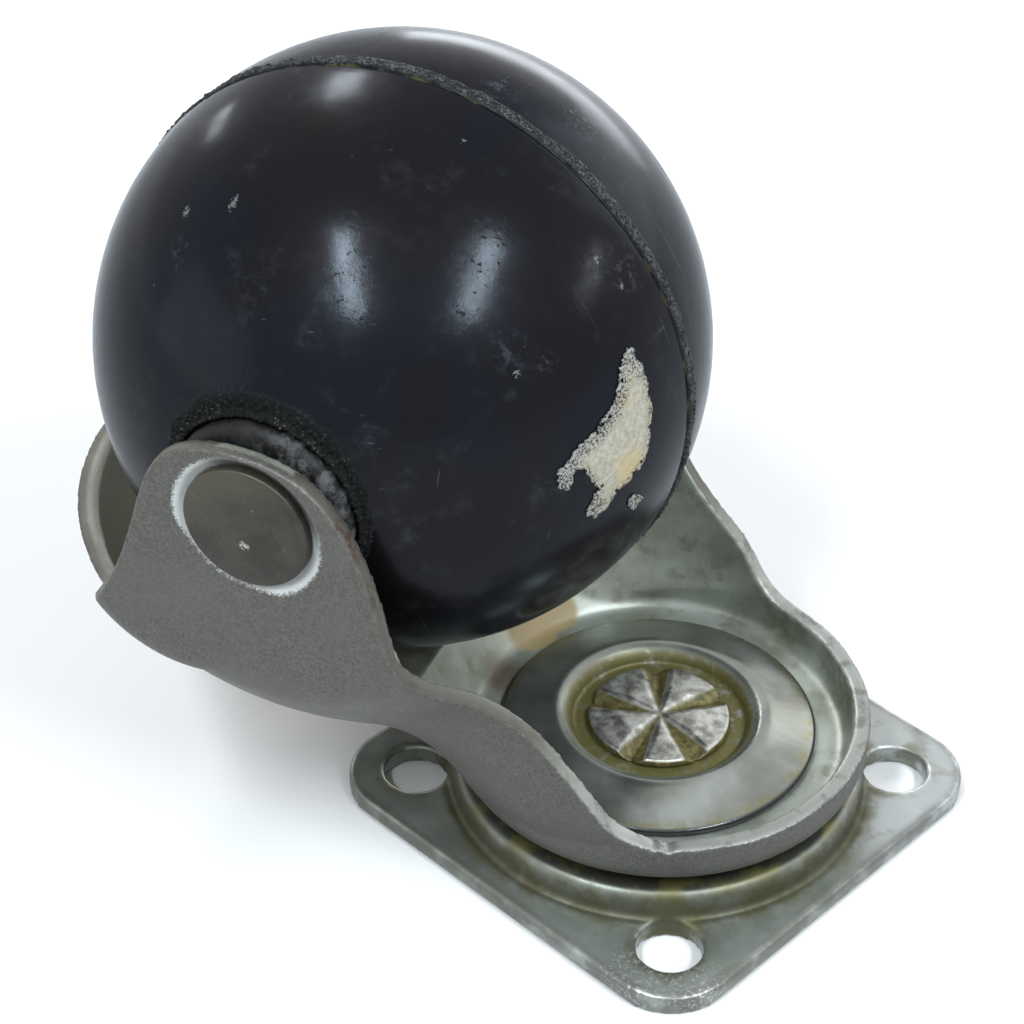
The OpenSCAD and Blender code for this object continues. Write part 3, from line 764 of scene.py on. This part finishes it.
def slope_of(p, skin, step=0.05):
    """The way in which fork_gap grows fastest at each point, one unit long."""
    g = np.stack([fork_gap(p + way * step, skin) - fork_gap(p - way * step, skin)
                  for way in np.eye(3)], 1)
    return g / np.maximum(np.linalg.norm(g, axis=1), 1e-9)[:, None]


# %% [markdown]
# The fork's solid is softened, then each point is given three marks: which side of
# the sheet it is on, whether it is on a cut edge, and whether it is on the arris
# where a cut edge meets a face. A point on a face looks along the slope of the
# filled shape, and a point on a cut edge looks across it. The crease inside a bend
# can look like an arris, so only points close to a cut edge may keep that mark.

# %% The fork, softened
ARRIS_REACH = 0.45 * MM
fork_mesh = softened("fork", 0.24, 3, 190000)
normals = np.zeros(len(fork_mesh.vertices) * 3, np.float32)
fork_mesh.vertex_normals.foreach_get("vector", normals)
co = points_of(fork_mesh)
turn_back = np.array(Matrix.Rotation(-fork_turn, 3, "Z"))
p, n = co @ turn_back.T / MM, normals.reshape(-1, 3) @ turn_back.T
outside, inside = np.abs(fork_gap(p, 0)), np.abs(fork_gap(p, SHEET))
inner_side = smoothstep(outside - inside, -0.3, 0.3)
slope = np.where((outside < inside)[:, None], slope_of(p, 0) * n, slope_of(p, SHEET) * n)
facing = np.abs(slope.sum(1))
from_axle = np.hypot(p[:, 0] - TRAIL, p[:, 2] - AXLE_Z)
from_pin = np.hypot(p[:, 0], p[:, 1])
plain = (from_axle < 6.8) & (np.abs(p[:, 1]) > 25)
plain |= (from_pin < 15.2) & (p[:, 2] < DISH_Z + 2.6)
off_both = smoothstep(np.minimum(outside, inside), 0.04, 0.18)
cut_edge = np.where(plain, 0, (1 - smoothstep(facing, 0.35, 0.75)) * off_both)
arris = np.where(plain, 0, np.exp(-((facing - 0.68) / 0.14) ** 2))
on_cut = np.flatnonzero(cut_edge > 0.6)
near_cut = kdtree.KDTree(len(on_cut))
for i, place in enumerate(co[on_cut]):
    near_cut.insert(place, i)
near_cut.balance()
for i in np.flatnonzero(arris > 0.15):
    arris[i] *= near_cut.find(co[i])[2] < ARRIS_REACH
for name, values in (("inner_side", inner_side), ("cut_edge", cut_edge), ("arris", arris)):
    write_mark(fork_mesh, name, values)
print(f"fork: {int((cut_edge > 0.5).sum())} of {len(co)} points are on a cut edge")

# %% [markdown]
# The dish's low rim was trimmed in the press and never filed, so its top runs up and
# down by a tenth of a millimetre or two and has two small nicks. The rim's points
# are moved in height alone, so the dish stays round.

# %% Ragged rim
NICKS = ((66, 1.5, 0.35), (70, 1.0, 0.2))  # degrees round the dish, width, depth in mm
swing = np.degrees(np.arctan2(p[:, 1], -p[:, 0]))
rim = smoothstep(p[:, 2], DISH_Z + 3.4, DISH_Z + 4.5) * (from_pin > 15.6) * (p[:, 0] < 2)
uneven = noise_at(co * (1, 1, 0.2), 3.2) * 0.16 + noise_at(co * (1, 1, 0.2), 0.9) * 0.03
tears = sum(deep * np.exp(-((swing - at) / wide) ** 2) for at, wide, deep in NICKS)
co[:, 2] += rim * (uneven - tears - 0.05) * MM
put_points(fork_mesh, co)
print(f"rim: {int((rim > 0.5).sum())} points, from {uneven.min():.2f} to {uneven.max():.2f} mm")

# %% [markdown]
# Outside, the plating has dulled to a dark, even, grainy grey. Inside it is pale with a
# green cast, painted paler in part for the light it reflects, and it reflects the ball. The
# white ring round the rivet's head is a painted highlight on the rounded rim of its seat, and it is
# the first thing seen on the leg.

# %% Finish of the fork
OUTER_DARK, OUTER_PALE = (0.07, 0.068, 0.062), (0.12, 0.117, 0.107)
OUTER_OLIVE, OUTER_CLOUD = (0.075, 0.074, 0.063), (0.115, 0.115, 0.111)
INNER_DARK, INNER_PALE, INNER_OLIVE = (0.235, 0.255, 0.21), (0.38, 0.41, 0.375), (0.13, 0.125, 0.08)
WARM_REFLECTION_TAN, RED_BROWN_SHADE, WALL_OLIVE = (0.36, 0.26, 0.115), (0.10, 0.072, 0.05), (0.155, 0.165, 0.115)
HOOD_BEND_PAINTED_SHADE, CHEEK_PAINTED_LIGHT = (0.2, 0.2, 0.155), (0.6, 0.6, 0.47)
EDGE_LEG, EDGE_DISH, EDGE_DIRT = (0.10, 0.098, 0.085), (0.27, 0.285, 0.265), (0.07, 0.065, 0.055)
EDGE_RUST, ARRIS_HIGHLIGHT, SEAT_PAINTED_HIGHLIGHT = (0.06, 0.025, 0.018), (0.42, 0.43, 0.42), (0.46, 0.48, 0.475)
RUSTED_EDGE = ((16, 26.5, 41), (13.3, 24, 28.6), (15, 25.5, 36), (33, 26, 28))
steel = Finish("fork_steel", fork_turn)
cloud = steel.grain(6, 4, 0.55)
fine = steel.grain(0.22, 3, 0.65)
blotch = steel.grain(1.8, 4, 0.6)
pits = steel.grain(0.6, 4, 0.7)
inner_mark, edge_mark, arris_mark = [steel.mark(m) for m in ("inner_side", "cut_edge", "arris")]
outer_colour = steel.blend(steel.fade(fine, 0.32, 0.68), OUTER_DARK, OUTER_PALE)
outer_colour = steel.blend(steel.fade(blotch, 0.4, 0.7, 0, 0.3), outer_colour, OUTER_OLIVE)
outer_colour = steel.blend(steel.fade(cloud, 0.45, 0.7, 0, 0.5), outer_colour, OUTER_CLOUD)
# The inside's pale colour is partly painted light, standing for the light that it reflects.
inner_colour = steel.blend(steel.fade(cloud, 0.3, 0.7), INNER_DARK, INNER_PALE)
inner_colour = steel.blend(steel.fade(blotch, 0.52, 0.7, 0, 0.5), inner_colour, INNER_OLIVE)
# A painted reflection: a warm tan patch inside, just behind the dish, where something warm beside
# the caster shows in the metal.
warm_reflection = steel.most(steel.spot((15.4, -7.0, 6.7), 2.4, 3.2),
                      steel.spot((14.0, -9.6, 6.9), 1.8, 2.5))
inner_colour = steel.blend(steel.times(warm_reflection, 0.85), inner_colour, WARM_REFLECTION_TAN)
# Painted shade: two red-brown patches inside under the ball, where its shadow falls and a reddish
# reflection shows in it.
red_brown_shade = steel.most(steel.spot((21.8, 3.2, 9.6), 1.5, 3.2), steel.spot((14.2, -0.4, 6.5), 1.2, 3.4))
inner_colour = steel.blend(steel.times(red_brown_shade, 0.85), inner_colour, RED_BROWN_SHADE)
olive_wall = steel.most(steel.spot((-13.5, -10.5, 8.5), 2, 6.5), steel.spot((-6, -15.5, 9), 1, 6))
olive_wall = steel.times(olive_wall, steel.fade(blotch, 0.35, 0.6, 0.35, 0.9))
inner_colour = steel.blend(olive_wall, inner_colour, WALL_OLIVE)
# Painted light and shade at the trailing end of the inside: the flat cheek, which lies in the
# ball's shade, is painted light, and the hood's bend, which faces the light, is painted darker.
trailing_painted_light = steel.fade(steel.level((1, 0, 0)), 26, 35)
flat_face = steel.fade(steel.calc("ABSOLUTE", steel.level((0, 1, 0))), 23.6, 25.2)
inner_colour = steel.blend(trailing_painted_light, inner_colour, steel.blend(flat_face, HOOD_BEND_PAINTED_SHADE, CHEEK_PAINTED_LIGHT))
colour = steel.blend(inner_mark, outer_colour, inner_colour)
dish_edge = steel.fade(steel.level((0, 0, 1)), 20, 13)
edge_colour = steel.blend(dish_edge, EDGE_LEG, EDGE_DISH)
edge_colour = steel.blend(steel.fade(blotch, 0.5, 0.68, 0, 0.6), edge_colour, EDGE_DIRT)
rusted = steel.most(*[steel.spot(at, 0.5, 3.0) for at in RUSTED_EDGE])
rusted = steel.times(rusted, steel.fade(pits, 0.42, 0.58), 0.85)
edge_colour = steel.blend(rusted, edge_colour, EDGE_RUST)
colour = steel.blend(edge_mark, colour, edge_colour)
# A painted highlight along the arris of the cut edges, speckled, and brightest at the dish's rim.
glint = steel.times(steel.fade(arris_mark, 0.35, 0.9), steel.fade(pits, 0.38, 0.62),
                    steel.fade(dish_edge, 0, 1, 0.2, 0.75))
colour = steel.blend(glint, colour, ARRIS_HIGHLIGHT)
# The white ring round the rivet's seat is a painted highlight: bright on the rim's rounded edge,
# fading on the side that the lip shades.
lean = math.radians(118)  # the side of the seat where the white ring is widest


def from_axle_towards(angle):
    """How far from the axle a point lies in one direction of the leg's face."""
    c, s = math.cos(angle), math.sin(angle)
    return steel.calc("SUBTRACT", steel.level((c, 0, s)), TRAIL * c + AXLE_Z * s)


grit = steel.grain(0.16, 3, 0.7)
wobble = steel.reach((TRAIL, 0, AXLE_Z), (1, 0, 1))
wobble = steel.calc("ADD", wobble, steel.fade(grit, 0.25, 0.75, -0.22, 0.22))
wobble = steel.calc("ADD", wobble, steel.fade(from_axle_towards(lean + math.pi), 3.2, 5.6, 0, 0.46))
seat = steel.times(steel.fade(wobble, 5.1, 5.35), steel.fade(wobble, 6.05, 6.4, 1, 0))
seat = steel.times(seat, steel.fade(steel.calc("ABSOLUTE", steel.level((0, 1, 0))), 26.25, 26.4))
seat = steel.times(seat, steel.fade(from_axle_towards(lean), 1.8, 4.6, 1, 0.12))
colour = steel.blend(seat, colour, SEAT_PAINTED_HIGHLIGHT)
rough_value = steel.fade(inner_mark, 0, 1, 0.52, 0.38)
rough_value = steel.calc("ADD", rough_value, steel.fade(cloud, 0.3, 0.7, -0.04, 0.08))
# The painted highlight, reflection, shade and light patches are made less metallic.
painted_light_patches = steel.most(seat, warm_reflection, red_brown_shade, steel.times(trailing_painted_light, inner_mark))
metal = steel.calc("SUBTRACT", steel.fade(inner_mark, 0, 1, 0.7, 0.5), steel.times(painted_light_patches, 0.5))
steel.set(Base_Color=colour, Metallic=metal, Roughness=rough_value,
          Normal=steel.height(fine, 0.012, 0.7, steel.height(cloud, 0.06, 0.3)))
show("fork_pressing", fork_mesh, "fork_assembly", steel, ["fork"])

# %% [markdown]
# The top plate is zinc-plated strip. The plating has dulled to a green-grey, dirt has
# settled in an olive line at the foot of the raised raceway and round the holes, and
# the rim is dark with a few bright rubs near one corner. The raceway under the fork's
# dish is painted dark as painted shade from the dish.

# %% The plate
CORNER_R, HOLE_AT, PLATE_TOP = 5.8, 14.672, 1.8  # mm
plate_mesh = softened("top_plate", 0.26, 2)
half_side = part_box("top_plate")[1].x / MM
across = np.abs(points_of(plate_mesh)[:, :2] / MM)
to_rim = half_side - across.max(1)
past = np.maximum(across - half_side + CORNER_R, 0)
round_off = np.maximum(np.hypot(past[:, 0], past[:, 1]) - CORNER_R, -9)
rim_values = 1 - smoothstep(np.minimum(to_rim, -round_off), 0.15, 1.0)
write_mark(plate_mesh, "rim", rim_values)
print(f"plate {2 * half_side:.2f} mm across, {int((rim_values > 0.5).sum())} points on its rim")

# %% [markdown]
# Zinc plating starts bright and goes cloudy. Two noises of different size mix the
# greens and greys, rings at fixed distances from the kingpin hold olive dirt and a
# darker ring, the raceway gets painted shade, and the holes have their own dark rings.
# The rub at one corner is bare metal.

# %% Finish of the plate
ZINC_DARK, ZINC_PALE, ZINC_LIT = (0.18, 0.2, 0.175), (0.3, 0.325, 0.30), (0.40, 0.43, 0.43)
ZINC_BLOTCH = (0.13, 0.135, 0.10)
FOOT_OLIVE, FOOT_BLACK = (0.10, 0.098, 0.045), (0.045, 0.042, 0.02)
TRACK_PAINTED_SHADE, TRACK_OLIVE, HOLE_OLIVE = (0.075, 0.078, 0.065), (0.16, 0.15, 0.06), (0.10, 0.095, 0.04)
RIM_DARK, RUBBED_BARE = (0.095, 0.092, 0.08), (0.5, 0.51, 0.5)
zinc = Finish("plate_zinc")
cloud = zinc.grain(8, 4, 0.55)
fine = zinc.grain(0.35, 3, 0.6)
blotch = zinc.grain(2.6, 5, 0.6)
rim_mark = zinc.mark("rim")
radius = zinc.reach(axes=(1, 1, 0))
foot = zinc.times(zinc.fade(radius, 20.2, 18.3), zinc.fade(radius, 16.6, 17.8))
deep = zinc.times(zinc.fade(radius, 18.9, 18.2), zinc.fade(radius, 17.0, 17.8))
round_holes = zinc.most(*[
    zinc.fade(zinc.reach((sx * HOLE_AT, sy * HOLE_AT, 0), (1, 1, 0)), 4.4, 3.1)
    for sx, sy in ((1, 1), (1, -1), (-1, 1), (-1, -1))])
colour = zinc.blend(zinc.fade(cloud, 0.35, 0.68), ZINC_DARK, ZINC_PALE)
# A painted pool of light brightens the plate towards the corner by (17, 14).
colour = zinc.blend(zinc.spot((17, 14, PLATE_TOP), 4, 14), colour, ZINC_LIT)
colour = zinc.blend(zinc.fade(blotch, 0.52, 0.72, 0, 0.5), colour, ZINC_BLOTCH)
colour = zinc.blend(zinc.times(foot, zinc.fade(blotch, 0.32, 0.62), 0.85), colour, FOOT_OLIVE)
colour = zinc.blend(zinc.times(deep, 0.75), colour, FOOT_BLACK)
# Painted shade: the raceway lies under the fork's dish, so it is painted dark grey, with olive dirt
# in patches.
raceway = zinc.times(zinc.fade(radius, 17.6, 16.8), zinc.fade(radius, 8, 9))
raceway_shade_and_olive = zinc.blend(zinc.fade(blotch, 0.45, 0.62), TRACK_PAINTED_SHADE, TRACK_OLIVE)
colour = zinc.blend(raceway, colour, raceway_shade_and_olive)
colour = zinc.blend(zinc.times(round_holes, zinc.fade(blotch, 0.4, 0.6), 0.55), colour, HOLE_OLIVE)
colour = zinc.blend(zinc.times(rim_mark, zinc.fade(blotch, 0.25, 0.55), 0.75), colour, RIM_DARK)
rub = zinc.most(zinc.spot((15, -18.5, PLATE_TOP), 1, 4.5),
                zinc.spot((19, -16.5, PLATE_TOP), 0.5, 4))
rub = zinc.times(rub, zinc.fade(zinc.grain(0.32, 4, 0.75), 0.53, 0.62), 0.85)
colour = zinc.blend(rub, colour, RUBBED_BARE)
rough_value = zinc.fade(blotch, 0.3, 0.75, 0.3, 0.46)
rough_value = zinc.calc("ADD", rough_value, zinc.times(foot, 0.15))
zinc.set(Base_Color=colour, Metallic=0.66, Roughness=rough_value,
         Normal=zinc.height(fine, 0.01, 0.5, zinc.height(cloud, 0.08, 0.35)))
show("plate", plate_mesh, "base", zinc, ["top_plate"])

# %% [markdown]
# The kingpin's end was spread by a five-pointed punch. Its petals are bright where
# they were struck, and old grease fills the grooves and the ring round them.

# %% Kingpin
PETAL_DARK, PETAL_BRIGHT = (0.24, 0.24, 0.22), (0.62, 0.63, 0.6)
GREASE_DARK, GREASE_OLIVE = (0.045, 0.036, 0.008), (0.17, 0.15, 0.055)
pin_mesh = softened("kingpin", 0.12, 2)
star_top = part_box("kingpin")[1].z / MM
struck = Finish("pin_zinc")
low_spot = struck.fade(struck.level((0, 0, 1)), star_top - 0.1, star_top - 0.38)
cloud = struck.grain(1.4, 4, 0.6)
smear = struck.grain(0.9, 5, 0.7)
colour = struck.blend(struck.fade(cloud, 0.35, 0.65), PETAL_DARK, PETAL_BRIGHT)
grease = struck.blend(struck.fade(smear, 0.35, 0.7), GREASE_DARK, GREASE_OLIVE)
greasy = struck.most(struck.times(low_spot, struck.fade(smear, 0.2, 0.42)),
                     struck.fade(smear, 0.62, 0.72, 0, 0.6))
colour = struck.blend(greasy, colour, grease)
rough_value = struck.fade(cloud, 0.3, 0.7, 0.26, 0.4)
rough_value = struck.calc("ADD", rough_value, struck.times(low_spot, 0.1))
struck.set(Base_Color=colour, Metallic=struck.fade(low_spot, 0, 1, 0.9, 0.35),
           Roughness=rough_value, Normal=struck.height(smear, 0.05, 0.6))
show("kingpin_staked", pin_mesh, "base", struck, ["kingpin"])

# %% [markdown]
# The cup washer is cleaner than the rest, because the fork's dish shelters it. Only
# the bead round the kingpin holds grease, and its rim is dark where it shades itself.

# %% Cup washer
WASHER_DARK, WASHER_PALE = (0.215, 0.225, 0.20), (0.33, 0.355, 0.335)
RIM_BLACK = (0.035, 0.038, 0.04)
BEAD_OLIVE, WASHER_STAIN = (0.105, 0.095, 0.03), (0.22, 0.21, 0.10)
washer_mesh = softened("cup_washer", 0.15, 2)
washer = Finish("washer_zinc")
radius = washer.reach(axes=(1, 1, 0))
cloud = washer.grain(5, 3, 0.5)
spots = washer.grain(1.2, 5, 0.7)
colour = washer.blend(washer.fade(cloud, 0.3, 0.7), WASHER_DARK, WASHER_PALE)
bead_dirt = washer.times(washer.fade(radius, 8.6, 7.7), washer.fade(spots, 0.22, 0.5))
washer_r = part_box("cup_washer")[1].x / MM
edge_dirt = washer.times(washer.fade(radius, washer_r - 1.4, washer_r - 0.3),
                         washer.fade(spots, 0.4, 0.6), 0.8)
dark_edge = washer.fade(radius, washer_r - 0.35, washer_r - 0.12)
colour = washer.blend(bead_dirt, colour, BEAD_OLIVE)
colour = washer.blend(edge_dirt, colour, WASHER_STAIN)
colour = washer.blend(dark_edge, colour, RIM_BLACK)
rough_value = washer.fade(cloud, 0.3, 0.7, 0.2, 0.3)
rough_value = washer.calc("ADD", rough_value, washer.times(bead_dirt, 0.25))
waves = washer.height(cloud, 0.08, 0.4)
washer.set(Base_Color=colour, Roughness=rough_value,
           Metallic=washer.fade(washer.most(bead_dirt, dark_edge), 0, 1, 0.85, 0.35),
           Normal=washer.height(washer.grain(0.5, 3), 0.008, 0.4, waves))
show("cup_washer_pressed", washer_mesh, "base", washer, ["cup_washer"])

# %% [markdown]
# Small turned pieces keep their CAD shape with a fine bevel on each edge. The hub
# bushes get a second, wider one: their flanges slope back from the leg.

# %% Helper that bevels a solid
FLANGE_FROM, FLANGE_RIM = 24.9 * MM, 7.4 * MM  # along the axle, and out from it
SHARP = math.radians(48)


def bevelled(node, width_mm, segments=3, wide_mm=0.0):
    """The node's solid with every sharp edge broken, and a wider bevel on its outer rim."""
    bm = bmesh.new()
    bm.from_mesh(merged(node))
    bmesh.ops.dissolve_limit(bm, angle_limit=math.radians(0.5), verts=bm.verts, edges=bm.edges)
    if wide_mm:
        def on_rim(v):
            off = v.co - ball_centre
            s = abs(off.dot(axle))
            return s > FLANGE_FROM and (off.length_squared - s * s) ** 0.5 > FLANGE_RIM
        rim = [e for e in bm.edges if all(on_rim(v) for v in e.verts)]
        bmesh.ops.bevel(bm, geom=rim, offset=wide_mm * MM, segments=2, profile=0.5,
                        affect="EDGES", material=-1, clamp_overlap=True)
    sharp = [e for e in bm.edges if e.is_manifold and e.calc_face_angle() > SHARP]
    bmesh.ops.bevel(bm, geom=sharp, offset=width_mm * MM, segments=segments, profile=0.5,
                    affect="EDGES", material=-1, clamp_overlap=True)
    mesh = bpy.data.meshes.new(node)
    bm.to_mesh(mesh)
    bm.free()
    return mesh


print(f"edges sharper than {math.degrees(SHARP):.0f} degrees get a bevel")

# %% [markdown]
# The rivet's head is dark steel with an olive bloom towards its upper side. A few
# nicks shine in it, and one of them, below its middle, is plainly seen.

# %% The axle's rivet
RIVET_DARK, RIVET_PALE = (0.028, 0.026, 0.022), (0.05, 0.046, 0.038)
RIVET_OLIVE, RIVET_FLECK = (0.075, 0.073, 0.052), (0.15, 0.14, 0.11)
NICK_BRIGHT = (0.4, 0.39, 0.35)
dark_steel = Finish("axle_steel", fork_turn)
cloud = dark_steel.grain(3, 4, 0.6)
nick = dark_steel.fade(dark_steel.grain(0.5, 4, 0.75, (1, 0.5, 0.35)), 0.68, 0.74)
one_nick = dark_steel.times(dark_steel.spot((TRAIL + 0.1, 27.2, AXLE_Z - 1.6), 0.2, 0.55),
                            dark_steel.fade(dark_steel.grain(0.25, 3, 0.7), 0.45, 0.55))
colour = dark_steel.blend(dark_steel.fade(cloud, 0.32, 0.68), RIVET_DARK, RIVET_PALE)
middle_level = 0.5 * TRAIL + 0.8 * AXLE_Z
bloom = dark_steel.fade(dark_steel.level((0.5, 0, 0.8)), middle_level, middle_level + 5, 0, 0.7)
colour = dark_steel.blend(bloom, colour, RIVET_OLIVE)
fleck = dark_steel.fade(dark_steel.grain(0.3, 4, 0.8), 0.6, 0.7, 0, 0.4)
colour = dark_steel.blend(fleck, colour, RIVET_FLECK)
nicks = dark_steel.most(dark_steel.times(nick, 0.5), one_nick)
colour = dark_steel.blend(nicks, colour, NICK_BRIGHT)
dark_steel.set(Base_Color=colour, Metallic=0.7,
               Roughness=dark_steel.fade(cloud, 0.3, 0.7, 0.38, 0.52),
               Normal=dark_steel.height(dark_steel.grain(0.8, 4), 0.03, 0.5))
show("axle_rivet_head", bevelled("axle_rivet", 0.16), "fork_assembly", dark_steel,
     ["axle_rivet"])

# %% [markdown]
# The hub bushes are a softer black plastic than the ball. They are rubbed grey on the
# side that faces the plate. The sleeve and the race balls show only through gaps, so
# they keep their solids and get a plain bright steel.

# %% Bushes, sleeve and race balls
BUSH_BLACK, BUSH_GREY = (0.005, 0.005, 0.005), (0.07, 0.07, 0.074)
STEEL_DARK, STEEL_PALE = (0.3, 0.29, 0.26), (0.5, 0.49, 0.46)
bush_black = Finish("bush_black", fork_turn, ball_centre)
cloud = bush_black.grain(1.4, 5, 0.7)
plate_side = bush_black.fade(bush_black.level((1, 0, 0.3)), 3.5, -1.5, 0.1, 1)
rubbed = bush_black.times(bush_black.fade(cloud, 0.42, 0.62), plate_side)
bush_black.set(Base_Color=bush_black.blend(rubbed, BUSH_BLACK, BUSH_GREY),
               Roughness=bush_black.fade(cloud, 0.3, 0.7, 0.45, 0.65), Specular_IOR_Level=0.2,
               Normal=bush_black.height(cloud, 0.06, 0.7))
for end in ("near", "far"):
    show(f"hub_bush_{end}_worn", bevelled(f"hub_bush_{end}", 0.12, 2, 0.85), "wheel",
         bush_black, [f"hub_bush_{end}"])

bright = Finish("plain_steel")
bright.set(Base_Color=bright.blend(bright.grain(1.5), STEEL_DARK, STEEL_PALE), Metallic=0.95,
           Roughness=bright.fade(bright.grain(0.8), 0.3, 0.7, 0.2, 0.4))
plain_nodes = [node for name, node in nodes.items() if name == "axle_sleeve" or "_ball_" in name]
for node in plain_nodes:
    node.data.materials.clear()
    node.data.materials.append(bright.material)
print(f"{len(plain_nodes)} solids keep their shape and get plain steel")
